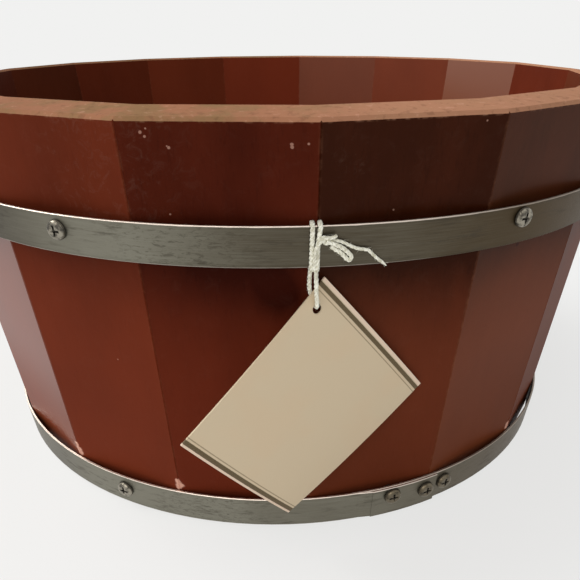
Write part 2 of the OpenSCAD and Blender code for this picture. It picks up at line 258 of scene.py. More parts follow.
# Floor: its rings, the share of the backdrop that it shows under the bucket,
# where its shadow falls, and where it starts to show all of it
FLOOR_RINGS = (0.1, 0.2, 0.35, 0.6, 1.2, 2.5, 6.0)
FLOOR_PARTS = 64
FLOOR_SHOWN = 0.78
FLOOR_FADE = (0.14, 0.28)
# Lamps: their target, places, sizes and colours
LAMP_TARGET = (0, 0, 0.08)
KEY_LAMP = ((-2.2, 0.8, 2.1), (2.2, 1.8), (1.0, 0.97, 0.93))
FILL_LAMP = ((-0.35, -1.3, 0.9), (1.2, 1.0), (1.0, 0.95, 0.9))

# Camera: its place, how far it looks down and aside, its roll, the width of its
# sensor in millimetres, and the nearest and farthest that it sees
CAMERA_PLACE = (0, -0.31247, 0.1685)
CAMERA_TURNS = (0.3893, 0.0168, -0.0068)
SENSOR_W = 36
CAMERA_REACH = (0.01, 50)


def colour(name, text, default):
    """A colour that the user can change."""
    return bpy.props.FloatVectorProperty(
        name=name, description=text, subtype="COLOR", size=4,
        min=0, max=1, default=(*default, 1),
    )


def share(name, text, default, high=1):
    """A share that the user can change."""
    return bpy.props.FloatProperty(
        name=name, description=text, subtype="FACTOR", min=0, max=high, default=default
    )


def length(name, text, default):
    """A length that the user can change."""
    return bpy.props.FloatProperty(
        name=name, description=text, subtype="DISTANCE", unit="LENGTH",
        min=0, default=default, precision=5,
    )


class WoodSettings(bpy.types.PropertyGroup):
    """Stained wood of the staves and the bottom"""

    dark: colour("Dark stain", "Stain on the darkest stave", (0.030, 0.0042, 0.0018))
    light: colour("Light stain", "Stain on the lightest stave", (0.190, 0.031, 0.0120))
    rubbed: colour(
        "Rubbed edge", "Wood on the rim, where the stain is rubbed off", (0.325, 0.148, 0.082)
    )
    chipped: colour("Chip", "Bare wood at the chipped corners", (0.80, 0.46, 0.35))
    roughness: share("Roughness", "Roughness of the stained faces", 0.54)
    gloss: share("Gloss", "Strength of the stained faces' reflection", 0.02)
    grain: share("Grain", "Contrast of the wood's grain", 0.13)


class SteelSettings(bpy.types.PropertyGroup):
    """Steel of the hoops and the screws"""

    light: colour("Steel", "Steel where it is clean", (0.237, 0.226, 0.180))
    dark: colour("Tarnish", "Steel where it is tarnished", (0.080, 0.064, 0.042))
    worn: colour("Worn edge", "Steel where its edges are rubbed bright", (0.92, 0.80, 0.70))
    screw: colour("Screw", "Plating of the screws", (0.34, 0.31, 0.25))
    roughness: share("Roughness", "Roughness of the strap", 0.46)


class StringSettings(bpy.types.PropertyGroup):
    """Cotton string of the tag"""

    tint: colour("Cotton", "Colour of the string", (0.93, 0.93, 0.83))
    thickness: length("Thickness", "Thickness of the string", STRING_D)
    lay: length("Lay", "Length of one full twist", 0.0042)
    plies: bpy.props.IntProperty(
        name="Plies", description="Strands in the string", min=2, max=5, default=3
    )
    fibres: bpy.props.IntProperty(
        name="Fibres", description="Loose fibres on each centimetre",
        min=0, max=80, default=34,
    )


class CardSettings(bpy.types.PropertyGroup):
    """Card of the tag"""

    paper: colour("Card", "Colour of the card", (0.625, 0.515, 0.36))
    margin: colour("Margin", "Colour of the card's pale ends", (0.77, 0.61, 0.48))
    ink: colour("Stripe", "Colour of the stripes", (0.080, 0.052, 0.018))
    stripe: length("Stripe width", "Width of the broad stripes", 0.0014)
    rule: length("Line width", "Width of the thin lines", 0.0003)


class StageSettings(bpy.types.PropertyGroup):
    """Floor, backdrop, lamps and camera"""

    backdrop: colour(
        "Backdrop", "Colour of the floor and the backdrop", (0.8796, 0.8796, 0.8713)
    )
    sky: share("Sky", "Strength of the light from all sides", 0.47, 2)
    key: bpy.props.FloatProperty(
        name="Key lamp", description="Power of the lamp at the left", unit="POWER",
        min=0, default=86,
    )
    fill: bpy.props.FloatProperty(
        name="Fill lamp", description="Power of the lamp at the front", unit="POWER",
        min=0, default=7,
    )
    lens: bpy.props.FloatProperty(
        name="Lens", description="Focal length of the camera", subtype="DISTANCE_CAMERA",
        unit="CAMERA", min=10, default=40.756,
    )


SETTINGS = {
    "bucket_wood": WoodSettings,
    "bucket_steel": SteelSettings,
    "bucket_string": StringSettings,
    "bucket_card": CardSettings,
    "bucket_stage": StageSettings,
}


class Value:
    """An output of a node. An expression with it adds Math nodes."""

    def __init__(self, finish, socket):
        self.finish = finish
        self.socket = socket

    def maths(self, operation, *terms, clamp=False):
        """A Math node with the given terms."""
        settings = {"operation": operation, "use_clamp": clamp}
        return self.finish.add("ShaderNodeMath", settings, dict(enumerate(terms)))

    def __add__(self, other):
        return self.maths("ADD", self, other)

    def __radd__(self, other):
        return self.maths("ADD", other, self)

    def __sub__(self, other):
        return self.maths("SUBTRACT", self, other)

    def __rsub__(self, other):
        return self.maths("SUBTRACT", other, self)

    def __mul__(self, other):
        return self.maths("MULTIPLY", self, other)

    def __rmul__(self, other):
        return self.maths("MULTIPLY", other, self)

    def __truediv__(self, other):
        return self.maths("DIVIDE", self, other)

    def __rtruediv__(self, other):
        return self.maths("DIVIDE", other, self)

    def __pow__(self, other):
        return self.maths("POWER", self, other)

    def __rpow__(self, other):
        return self.maths("POWER", other, self)

    def __neg__(self):
        return self.maths("MULTIPLY", self, -1)

    def __abs__(self):
        return self.maths("ABSOLUTE", self)

    def fraction(self):
        return self.maths("FRACT", self)

    def whole(self):
        return self.maths("FLOOR", self)

    def least(self, other):
        return self.maths("MINIMUM", self, other)

    def most(self, other):
        return self.maths("MAXIMUM", self, other)

    def kept(self):
        """The value, kept between 0 and 1."""
        return self.maths("ADD", self, 0, clamp=True)

    def rise(self, low, high):
        """0 below low, 1 above high and a smooth rise between them."""
        return self.finish.add(
            "ShaderNodeMapRange",
            {"interpolation_type": "SMOOTHSTEP"},
            {"Value": self, "From Min": low, "From Max": high},
        )


class Finish:
    """The nodes of a material or of the world."""

    def __init__(self, owner):
        owner.use_nodes = True
        self.owner = owner
        self.tree = owner.node_tree
        self.tree.nodes.clear()

    def add(self, kind, settings=None, values=None, out=0):
        """One node: its settings first, then its sockets' values or links."""
        node = self.tree.nodes.new(kind)
        for key, value in (settings or {}).items():
            if key == "stops":
                self.set_stops(node.color_ramp, value)
            else:
                setattr(node, key, value)
        for key, value in (values or {}).items():
            if isinstance(value, Value):
                self.tree.links.new(value.socket, node.inputs[key])
            else:
                node.inputs[key].default_value = value
        return Value(self, node.outputs[out]) if len(node.outputs) else None

    @staticmethod
    def set_stops(ramp, stops):
        """A ramp of level steps, each with three numbers, at the given places."""
        ramp.interpolation = "CONSTANT"
        while len(ramp.elements) < len(stops):
            ramp.elements.new(1)
        for element, (place, level) in zip(ramp.elements, stops):
            element.position = place
            element.color = (*level, 1)

    def place(self):
        """Where the point is on the piece, in metres at rest."""
        return self.add("ShaderNodeTexCoord", out="Object")

    def facing(self):
        """The way that the surface faces on the piece."""
        return self.add("ShaderNodeTexCoord", out="Normal")

    def parts(self, vector):
        """A vector's three numbers."""
        split = self.add("ShaderNodeSeparateXYZ", values={0: vector})
        outputs = split.socket.node.outputs
        return [Value(self, outputs[k]) for k in range(3)]

    def joined(self, x, y, z):
        """A vector of three numbers."""
        return self.add("ShaderNodeCombineXYZ", values={0: x, 1: y, 2: z})

    def along(self, vector, direction):
        """How far a vector goes in a direction."""
        settings = {"operation": "DOT_PRODUCT"}
        return self.add("ShaderNodeVectorMath", settings, {0: vector, 1: direction}, "Value")

    def away(self, vector, point):
        """How far a place is from a point."""
        settings = {"operation": "DISTANCE"}
        return self.add("ShaderNodeVectorMath", settings, {0: vector, 1: point}, "Value")

    def noise(self, vector, scale, detail, roughness, distortion=0.0):
        """Cloudy values about 0.5, in steps of 1 / scale metres."""
        return self.add(
            "ShaderNodeTexNoise",
            values={
                "Vector": vector, "Scale": scale, "Detail": detail,
                "Roughness": roughness, "Distortion": distortion,
            },
        )

    def mix(self, amount, first, second):
        """Two colours, mixed by an amount from 0 to 1."""
        settings = {"data_type": "RGBA", "clamp_factor": True}
        return self.add("ShaderNodeMix", settings, {0: amount, 6: first, 7: second}, 2)

    def bump(self, height, depth, strength):
        """Relief with the given height from 0 to 1, and its depth in metres."""
        values = {"Strength": strength, "Distance": depth, "Height": height}
        return self.add("ShaderNodeBump", values=values)

    def surface(self, **values):
        """The material's surface, with the Principled shader's sockets."""
        names = {key.replace("_", " "): value for key, value in values.items()}
        shader = self.add("ShaderNodeBsdfPrincipled", values=names)
        self.add("ShaderNodeOutputMaterial", values={"Surface": shader})
        return self.owner


def new_finish(name):
    """The empty node tree of a new material."""
    return Finish(bpy.data.materials.new(name))


def from_axis(x, y):
    """How far a place is from the bucket's axis."""
    return (x * x + y * y) ** 0.5


def about_axis(x, y):
    """A place's turn about the bucket's axis."""
    return x.maths("ARCTAN2", x, -y)


def strongest(masks):
    """The greatest of some masks at each point."""
    return functools.reduce(Value.most, masks)


def tinted(tint, red, green, blue):
    """A colour with each of its parts times a number."""
    return (tint[0] * red, tint[1] * green, tint[2] * blue, 1)


def dress(node, material):
    """Gives a node of the packed model its material."""
    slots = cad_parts[node].data.materials
    slots.clear()
    slots.append(material)


def wall_point(along, out, up):
    """A point on the wall at the string, in metres, from millimetres."""
    turn = STRING_TURN + along * MILLI / STRING_REF_R
    radius = FOOT_R + (out * math.cos(SLOPE) + up * math.sin(SLOPE)) * MILLI
    height = (up * math.cos(SLOPE) - out * math.sin(SLOPE)) * MILLI
    return Vector((radius * math.sin(turn), -radius * math.cos(turn), height))


def seam_point(seam, up):
    """A point on the wall's flat faces, so many staves from the front seam."""
    turn = SEAM_TURN + seam * STEP
    flat = math.cos(STEP / 2) / math.cos((seam % 1 - 0.5) * STEP)
    radius = (FOOT_R + up * math.sin(SLOPE)) * flat
    return Vector((radius * math.sin(turn), -radius * math.cos(turn), up * math.cos(SLOPE)))


def curve_point(a, b, c, d, t):
    """A point between b and c on the smooth curve through four points."""
    return 0.5 * (
        2 * b
        + (c - a) * t
        + (2 * a - 5 * b + 4 * c - d) * t * t
        + (3 * b - a - 3 * c + d) * t * t * t
    )


def smooth_route(points, gap):
    """Points at an even gap on a smooth curve through the given ones."""
    padded = [2 * points[0] - points[1], *points, 2 * points[-1] - points[-2]]
    fine = []
    for k in range(1, len(padded) - 2):
        for part in range(FINE_POINTS):
            fine.append(curve_point(*padded[k - 1:k + 3], part / FINE_POINTS))
    fine.append(points[-1])
    total = sum((b - a).length for a, b in zip(fine, fine[1:]))
    count = max(2, round(total / gap))
    route, walked, target = [fine[0]], 0.0, total / count
    for a, b in zip(fine, fine[1:]):
        span = (b - a).length
        while walked + span >= target and len(route) < count:
            route.append(a.lerp(b, (target - walked) / max(span, TINY)))
            target += total / count
        walked += span
    return [*route, fine[-1]]


def carried_sides(route):
    """At each point of a route, two directions square to it, without twist."""
    sides = []
    side = Vector((0, 0, 1)).cross(route[1] - route[0])
    if side.length < TINY:
        side = Vector((1, 0, 0))
    for k in range(len(route)):
        heading = (route[min(k + 1, len(route) - 1)] - route[max(k - 1, 0)]).normalized()
        side = (side - side.dot(heading) * heading).normalized()
        sides.append((side, heading.cross(side)))
    return sides


def add_tube(verts, faces, route, radii, ring):
    """A closed tube along a route."""
    start = len(verts)
    for point, radius, (u, v) in zip(route, radii, carried_sides(route)):
        for k in range(ring):
            a = math.tau * k / ring
            verts.append(point + radius * (math.cos(a) * u + math.sin(a) * v))
    for k in range(len(route) - 1):
        for j in range(ring):
            a = start + k * ring + j
            b = start + k * ring + (j + 1) % ring
            faces.append((a, b, b + ring, a + ring))
    faces.append(tuple(start + j for j in reversed(range(ring))))
    last = start + (len(route) - 1) * ring
    faces.append(tuple(last + j for j in range(ring)))


def add_twist(verts, faces, points, settings, end=1.0, start=1.0, size=1.0):
    """Plies twisted along a smooth route, thinner at its ends by the shares."""
    thickness = settings.thickness * size
    route = smooth_route(points, settings.lay / TWIST_POINTS)
    sides = carried_sides(route)
    gap = (route[1] - route[0]).length
    taper = []
    for k in range(len(route)):
        from_end = (len(route) - 1 - k) * gap / (TAPER_LENGTH * thickness)
        from_start = k * gap / (TAPER_LENGTH * thickness)
        at_end = end + (1 - end) * min(1, from_end)
        at_start = start + (1 - start) * min(1, from_start)
        taper.append(at_end * at_start)
    ply = thickness * PLY_R
    off = thickness * PLY_OUT
    for strand in range(settings.plies):
        line, radii = [], []
        for k, (point, (u, v)) in enumerate(zip(route, sides)):
            a = math.tau * (strand / settings.plies + k * gap / settings.lay)
            line.append(point + off * taper[k] * (math.cos(a) * u + math.sin(a) * v))
            radii.append(ply * taper[k])
        add_tube(verts, faces, line, radii, PLY_SIDES)
    return route


def add_fibres(verts, faces, route, settings, draw, reach=1.0):
    """Loose fibres that stand off a string."""
    sides = carried_sides(route)
    span = sum((b - a).length for a, b in zip(route, route[1:]))
    for _ in range(round(settings.fibres * span * 100)):
        k = draw.randrange(len(route) - 1)
        u, v = sides[k]
        heading = (route[k + 1] - route[k]).normalized()
        a = draw.uniform(0, math.tau)
        out = math.cos(a) * u + math.sin(a) * v
        lean = draw.uniform(-FIBRE_LEAN, FIBRE_LEAN)
        bend = draw.uniform(-FIBRE_BEND, FIBRE_BEND)
        size = draw.uniform(FIBRE_LEAST, 1.0) ** 2 * settings.thickness * FIBRE_MOST * reach
        base = route[k] + out * settings.thickness * FIBRE_FOOT
        elbow = base + size * 0.5 * (out * 0.5 + heading * lean * 0.7)
        tip = base + size * (out * (0.6 + bend * 0.3) + heading * (lean + bend))
        add_tube(verts, faces, [base, elbow, tip], FIBRE_RADII, FIBRE_SIDES)


def new_piece(name, verts, faces, material, body):
    """A smooth mesh piece that rides on a body of the packed model."""
    mesh = bpy.data.meshes.new(name)
    mesh.from_pydata([tuple(v) for v in verts], [], faces)
    mesh.validate()
    for face in mesh.polygons:
        face.use_smooth = True
    mesh.materials.append(material)
    piece = bpy.data.objects.new(name, mesh)
    bpy.context.scene.collection.objects.link(piece)
    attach(piece, body)
    return piece


def make_cotton(settings):
    """Undyed cotton."""
    cotton = new_finish("cotton")
    place = cotton.place()
    tint = tuple(settings.tint)
    shade = tinted(tint, 0.62, 0.60, 0.52)
    dirt = cotton.noise(place, scale=900, detail=3, roughness=0.6)
    fibre = cotton.noise(place, scale=6000, detail=2, roughness=0.6)
    return cotton.surface(
        Base_Color=cotton.mix((dirt * 0.7 + fibre * 0.3).rise(0.35, 0.62), shade, tint),
        Roughness=0.9,
        Sheen_Weight=0.25,
        Specular_IOR_Level=0.2,
        Normal=cotton.bump(fibre, depth=0.00004, strength=0.7),
    )


class BUCKET_OT_camera(bpy.types.Operator):
    """Put the camera at the front, above the rim"""

    bl_idname = "bucket.camera"
    bl_label = "Camera"

    def execute(self, context):
        down, aside, roll = CAMERA_TURNS
        look = Vector((
            math.sin(aside) * math.cos(down),
            math.cos(aside) * math.cos(down),
            -math.sin(down),
        ))
        level = Vector((math.cos(aside), -math.sin(aside), 0))
        upright = level.cross(look)
        right = math.cos(roll) * level + math.sin(roll) * upright
        up = math.cos(roll) * upright - math.sin(roll) * level
        data = bpy.data.cameras.new("camera")
        data.lens = context.scene.bucket_stage.lens
        data.sensor_width = SENSOR_W
        data.clip_start, data.clip_end = CAMERA_REACH
        camera = bpy.data.objects.new("camera", data)
        turned = Matrix((right, up, -look)).transposed().to_4x4()
        camera.matrix_world = Matrix.Translation(CAMERA_PLACE) @ turned
        context.scene.collection.objects.link(camera)
        context.scene.camera = camera
        return {"FINISHED"}


def knot_route():
    """A closed three-leaved knot, placed as the other routes on the wall are."""
    route = []
    for k in range(KNOT_POINTS + 1):
        a = math.tau * k / KNOT_POINTS
        route.append((
            KNOT[0] + KNOT_SIZE[0] * (math.sin(a) + 2 * math.sin(2 * a)),
            KNOT[1] - KNOT_SIZE[1] * math.sin(3 * a),
            KNOT[2] + KNOT_SIZE[2] * (math.cos(a) - 2 * math.cos(2 * a)),
        ))
    return route


# What is tied round the hoop: each strand's route, its thickness at its end and
# at its start, its size, and how far its fibres reach, as shares
Strand = collections.namedtuple("Strand", "route end start size reach")
STRANDS = (
    Strand(TIE_LEFT, end=1, start=1, size=1.18, reach=1),
    Strand(TIE_RIGHT, end=1, start=1, size=1.18, reach=1),
    Strand(knot_route(), end=1, start=1, size=0.86, reach=1),
    Strand(SHORT_END, end=0.8, start=0.9, size=1.05, reach=1.4),
    Strand(BIGHT, end=0.8, start=0.9, size=1.15, reach=1.4),
    Strand(TAIL, end=0.35, start=0.8, size=0.86, reach=1.4),
    Strand(BETWEEN, end=1, start=1, size=0.95, reach=1.4),
)


class BUCKET_OT_string(bpy.types.Operator):
    """Tie the string round the upper hoop and down to the card"""

    bl_idname = "bucket.string"
    bl_label = "String"

    def execute(self, context):
        settings = context.scene.bucket_string
        cotton = make_cotton(settings)
        draw = random.Random(FIBRE_SEED)

        verts, faces = [], []
        for route, end, start, size, reach in STRANDS:
            points = [wall_point(*p) for p in route]
            line = add_twist(verts, faces, points, settings, end, start, size)
            add_fibres(verts, faces, line, settings, draw, reach)
        tie = new_piece("string_tie_twist", verts, faces, cotton, "bucket")
        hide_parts("string_tie")

        verts, faces = [], []
        points = [Vector(p) * MILLI for p in LOOP]
        line = add_twist(verts, faces, points, settings, size=LOOP_SIZE)
        add_fibres(verts, faces, line, settings, draw)
        loop = new_piece("string_loop_twist", verts, faces, cotton, "string")
        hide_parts("string_loop")
        return {"FINISHED"}


def spots(wood, place, marks, ragged):
    """1 in small round marks on the wall, with ragged edges, and 0 elsewhere."""
    shown = []
    for seam, up_wall, size in marks:
        gap = wood.away(place, seam_point(seam, up_wall)) + ragged * size
        shown.append(1 - gap.rise(size * SPOT_EDGE[0], size * SPOT_EDGE[1]))
    return strongest(shown)


def scuffs(wood, place):
    """1 at the middle of each scuffed place, and 0 away from them."""
    shown = []
    for seam, up_wall, size in SCUFFS:
        gap = wood.away(place, seam_point(seam, up_wall))
        shown.append(1 - gap.rise(size * SCUFF_EDGE[0], size * SCUFF_EDGE[1]))
    return strongest(shown)


def by_stave(wood, at_stave, rows):
    """Three values that each stave has of its own, from a row for each."""
    stops = [(k / STAVES, row) for k, row in enumerate(rows)]
    return wood.parts(wood.add("ShaderNodeValToRGB", {"stops": stops}, {0: at_stave}))


def olive_wood(settings):
    """Rubbed wood, a little greener."""
    return tinted(settings.rubbed, 0.78, 0.97, 0.86)


def make_rim(wood, place, x, wear, settings):
    """The rubbed rim: cloudy and soiled in spots, with painted light at the right and painted
    shade at the left that even out the key lamp.
    """
    cloud = wood.noise(place, scale=60, detail=4, roughness=0.65)
    rim = wood.mix(cloud.rise(0.42, 0.60), olive_wood(settings), tuple(settings.rubbed))
    # painted light at the right and painted shade at the left, against the key lamp's
    # fall-off
    rim = wood.mix(x.rise(*RIM_PAINTED_LIGHT_FROM) * 0.80, rim, RIM_PAINTED_LIGHT)
    rim = wood.mix((1 - x.rise(*RIM_PAINTED_SHADE_TO)) * 0.35, rim, RIM_PAINTED_SHADE)
    rim = wood.mix((0.45 - wear).rise(0.0, 0.12) * 0.30, rim, SOILED_RIM)
    return wood.mix((wear - 0.60).rise(0.0, 0.10) * 0.16, rim, tuple(settings.chipped))


def make_stained_wood(settings):
    """Red-brown stained wood, varnished on some staves and rubbed at its edges, with painted
    light and shade in its stain.
    """
    wood = new_finish("stained_wood")
    place = wood.place()
    x, y, z = wood.parts(place)
    side_x, side_y, up = wood.parts(wood.facing())
    radius = from_axis(x, y)
    around = ((about_axis(x, y) - SEAM_TURN) / math.tau).fraction() * STAVES
    number = around.whole()
    across = around.fraction()
    at_stave = (number + 0.5) / STAVES
    at_foot, at_rim, inside = by_stave(wood, at_stave, [row[:3] for row in STAVE_STAIN_AND_SHADE])
    brown, varnish, varnish_inside = by_stave(
        wood, at_stave, [row[3:] for row in STAVE_STAIN_AND_SHADE]
    )

    # figure that runs up each stave, pores, and softer clouds in the stain
    beside = (across - 0.5) * radius * STEP
    from_seam = (0.5 - abs(across - 0.5)) * radius * STEP
    grain_at = wood.joined(
        beside + number * GRAIN_SHIFT[0], radius, z * GRAIN_STRETCH + number * GRAIN_SHIFT[1]
    )
    cloud_at = wood.joined(
        beside + number * CLOUD_SHIFT[0], radius, z * CLOUD_STRETCH + number * CLOUD_SHIFT[1]
    )
    figure = wood.noise(grain_at, scale=90, detail=4, roughness=0.62, distortion=0.6)
    pores = wood.noise(grain_at, scale=1300, detail=2, roughness=0.6)
    cloud = wood.noise(cloud_at, scale=34, detail=3, roughness=0.5)

    # how light the stain is, with painted light and shade in it, and how much varnish is left
    inward = (-(x * side_x + y * side_y)).rise(0.02, 0.05)
    # painted light: lighter towards the foot, as if lit from the floor
    level = at_foot + (at_rim - at_foot) * z.rise(*STAIN_AND_SHADE_FADE)
    level = level + (inside - level) * inward
    level = level + (figure - 0.5) * settings.grain + (cloud - 0.5) * 0.42
    # painted shadows just below the upper hoop
    for seam, up_wall, size, depth in SHADOW_PATCHES:
        gap = wood.away(place, seam_point(seam, up_wall)) + (cloud - 0.5) * 0.02
        level = level - (1 - gap.rise(0.0, size * 1.6)) * depth
    # painted shadow in a band just below the upper hoop, outside only
    hoop_shadow = z.rise(*HOOP_SHADOW_ON) * (1 - z.rise(*HOOP_SHADOW_OFF)) * (1 - inward)
    level = level - (0.44 - pores).rise(0.0, 0.10) * 0.035 - hoop_shadow * 0.13
    varnish = varnish * (0.45 + 0.55 * z.rise(*VARNISH_FADE))
    varnish = varnish + (varnish_inside - varnish) * inward

    dark, light = tuple(settings.dark), tuple(settings.light)
    red_stain = wood.mix(level.kept(), dark, light)
    brown_stain = wood.mix(
        level.kept(), tinted(dark, 1, 2.2, 0.8), tinted(light, 1, 1.75, 1.7)
    )
    base = wood.mix(brown, red_stain, brown_stain)

    # scuffs, rubbed seams, and the rim with its edge
    wear = wood.noise(place, scale=420, detail=3, roughness=0.6)
    rim = make_rim(wood, place, x, wear, settings)
    on_rim = up.rise(0.30, 0.50) * z.rise(*RIM_FROM)
    rim_edge = z.rise(*RIM_EDGE_FROM) * wear.rise(0.48, 0.62) * 0.35
    rim_edge = rim_edge * (1 - inward)
    seam_rub = (1 - from_seam.rise(*SEAM_RUB)) * wear.rise(0.45, 0.65) * 0.10
    rubs = wood.noise(place, scale=260, detail=6, roughness=0.8, distortion=0.8)
    rubs = rubs.rise(0.50, 0.68) * (0.012 + scuffs(wood, place) * 0.04)
    base = wood.mix(rubs * (1 - on_rim), base, SCUFFED)
    base = wood.mix(seam_rub, base, tuple(settings.rubbed))
    base = wood.mix(on_rim.most(rim_edge), base, rim)

    # chips, small pale flecks and dark pits
    ragged = (wear - 0.5) * 1.1
    chip = spots(wood, place, CHIPS, ragged)
    fleck = spots(wood, place, FLECKS, ragged)
    pit = spots(wood, place, PITS, ragged)
    base = wood.mix(chip * 0.75, base, tuple(settings.chipped))
    base = wood.mix(fleck * 0.30, base, tuple(settings.chipped))
    base = wood.mix(pit * 0.85, base, dark)

    # bare feet
    under = (-up).rise(0.5, 0.8)
    base = wood.mix(under * 0.7, base, olive_wood(settings))

    rough = settings.roughness + (cloud - 0.5) * 0.14 + on_rim * 0.16 + chip * 0.2
    relief = figure * 0.4 + pores * 0.12 + cloud * 0.5
    return wood.surface(
        Base_Color=base,
        Roughness=rough.kept(),
        Specular_IOR_Level=settings.gloss,
        Coat_Weight=(varnish * (1 - on_rim)).kept(),
        Coat_Roughness=0.3,
        Normal=wood.bump(relief, depth=0.00022, strength=0.4),
    )


def make_board_wood(settings):
    """The bottom's darker wood, with its grain straight across."""
    wood = new_finish("bottom_wood")
    place = wood.place()
    x, y, z = wood.parts(place)
    board = (x / BOARD_W).whole()
    grain_at = wood.joined(
        x + board * BOARD_SHIFT[0], y * BOARD_STRETCH + board * BOARD_SHIFT[1], z
    )
    figure = wood.noise(grain_at, scale=60, detail=4, roughness=0.6, distortion=0.8)
    pores = wood.noise(grain_at, scale=900, detail=2, roughness=0.6)
    dark, light = tuple(settings.dark), tuple(settings.light)
    base = wood.mix((0.35 + (figure - 0.5) * 0.9).kept(), dark, light)
    base = wood.mix((0.44 - pores).rise(0, 0.1) * 0.25, base, dark)
    return wood.surface(
        Base_Color=base,
        Roughness=(settings.roughness + 0.06 + (figure - 0.5) * 0.1).kept(),
        Specular_IOR_Level=settings.gloss,
        Normal=wood.bump(figure * 0.5 + pores * 0.3, depth=0.0003, strength=0.5),
    )


class BUCKET_OT_staves(bpy.types.Operator):
    """Stain the staves"""

    bl_idname = "bucket.staves"
    bl_label = "Staves"

    def execute(self, context):
        wood = make_stained_wood(context.scene.bucket_wood)
        for node in sorted(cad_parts):
            if node.startswith("stave_"):
                dress(node, wood)
        return {"FINISHED"}


class BUCKET_OT_bottom(bpy.types.Operator):
    """Stain the bottom board"""

    bl_idname = "bucket.bottom"
    bl_label = "Bottom"

    def execute(self, context):
        dress("bottom_board", make_board_wood(context.scene.bucket_wood))
        return {"FINISHED"}


def make_strap_steel(name, settings, foot, clean):
    """Tarnished strap steel, smeared along the strap, with a painted highlight left of the
    middle, painted shade in its tarnish at the right, and edges bright with wear and a
    painted highlight.
    """
    steel = new_finish(name)
    place = steel.place()
    x, y, z = steel.parts(place)
    radius = from_axis(x, y)
    up = z * math.cos(SLOPE) + (radius - FOOT_R) * math.sin(SLOPE) - foot
    run = about_axis(x, y) * FOOT_R
    from_edge = up.least(STRAP_W - up)

    # streaks along the strap, clouds, pits, and fine mottling
    smear = steel.noise(
        steel.joined(run * 0.30, up * 1.6, radius),
        scale=420, detail=5, roughness=0.66, distortion=0.5,
    )
    scrape = steel.noise(
        steel.joined(run * 0.10, up * 3.0, radius), scale=900, detail=3, roughness=0.6
    )
    cloud = steel.noise(
        steel.joined(run, up * 1.5, radius), scale=38, detail=3, roughness=0.5
    )
    where = steel.noise(
        steel.joined(run, up * 2, radius), scale=55, detail=2, roughness=0.5
    )
    fine = steel.noise(
        steel.joined(run * 0.35, up, radius),
        scale=1100, detail=5, roughness=0.75, distortion=0.6,
    )
    pits = steel.noise(place, scale=1600, detail=2, roughness=0.6)

    # from left to right: darker at the far left, a painted highlight, mottled, and tarnished
    # with painted shade
    sooty = (1 - x.rise(*DARKER_LEFT_TO)) * 0.33
    bright = (1 - abs(x - HIGHLIGHT_AT).rise(0.0, HIGHLIGHT_REACH)) * 0.88
    mottled = (0.50 - fine).rise(0.0, 0.12) * (1 - abs(x - MOTTLED_AT).rise(*MOTTLED_REACH))
    tarnish_and_shade = x.rise(*TARNISH_AND_SHADE_FROM)
    streak = (0.50 - smear).rise(0.0, 0.16) * where.rise(0.40, 0.62) * 0.50
    # the painted highlight lightens the steel, and the painted shade at the right darkens it
    level = clean + bright - tarnish_and_shade * 0.30
    level = level + (cloud - 0.5) * 0.45 + (scrape - 0.5) * 0.50
    soot = tinted(settings.dark, 0.55, 0.55, 0.55)
    base = steel.mix(level.kept(), tuple(settings.dark), tuple(settings.light))
    base = steel.mix(tarnish_and_shade * (0.35 + cloud * 0.6), base, BROWN_TARNISH)
    base = steel.mix(mottled * 0.45, base, soot)
    base = steel.mix(sooty, base, soot)
    base = steel.mix(streak + (1 - from_edge.rise(*SOOTY_EDGE)) * 0.16, base, soot)

    # edges bright with wear and a painted highlight, weaker along the lower one and at the
    # right, where less light falls
    edge_at = from_edge + (smear - 0.5) * 0.0005
    lower_part = (STRAP_W - up).rise(*LOWER_PART)
    edge_wear_and_highlight = (0.85 - lower_part * 0.60 - x.rise(*HIGHLIGHT_FADE_FROM) * 0.60).kept()
    worn = (1 - edge_at.rise(*WORN_EDGE)) * edge_wear_and_highlight
    base = steel.mix(worn, base, tuple(settings.worn))
    rough = settings.roughness + streak * 0.2 + (pits - 0.5) * 0.15 - worn * 0.1
    relief = pits * 0.25 + scrape * 0.45 + smear * 0.3
    return steel.surface(
        Base_Color=base,
        Metallic=1 - streak * 0.4,
        Roughness=rough.kept(),
        Normal=steel.bump(relief, depth=0.00010, strength=0.5),
    )


class BUCKET_OT_hoops(bpy.types.Operator):
    """Age the two strap hoops"""

    bl_idname = "bucket.hoops"
    bl_label = "Hoops"

    def execute(self, context):
        settings = context.scene.bucket_steel
        for name, hoop in HOOPS.items():
            strap = make_strap_steel(name + "_strap", settings, hoop.foot, hoop.clean)
            dress(name + "_hoop", strap)
        return {"FINISHED"}


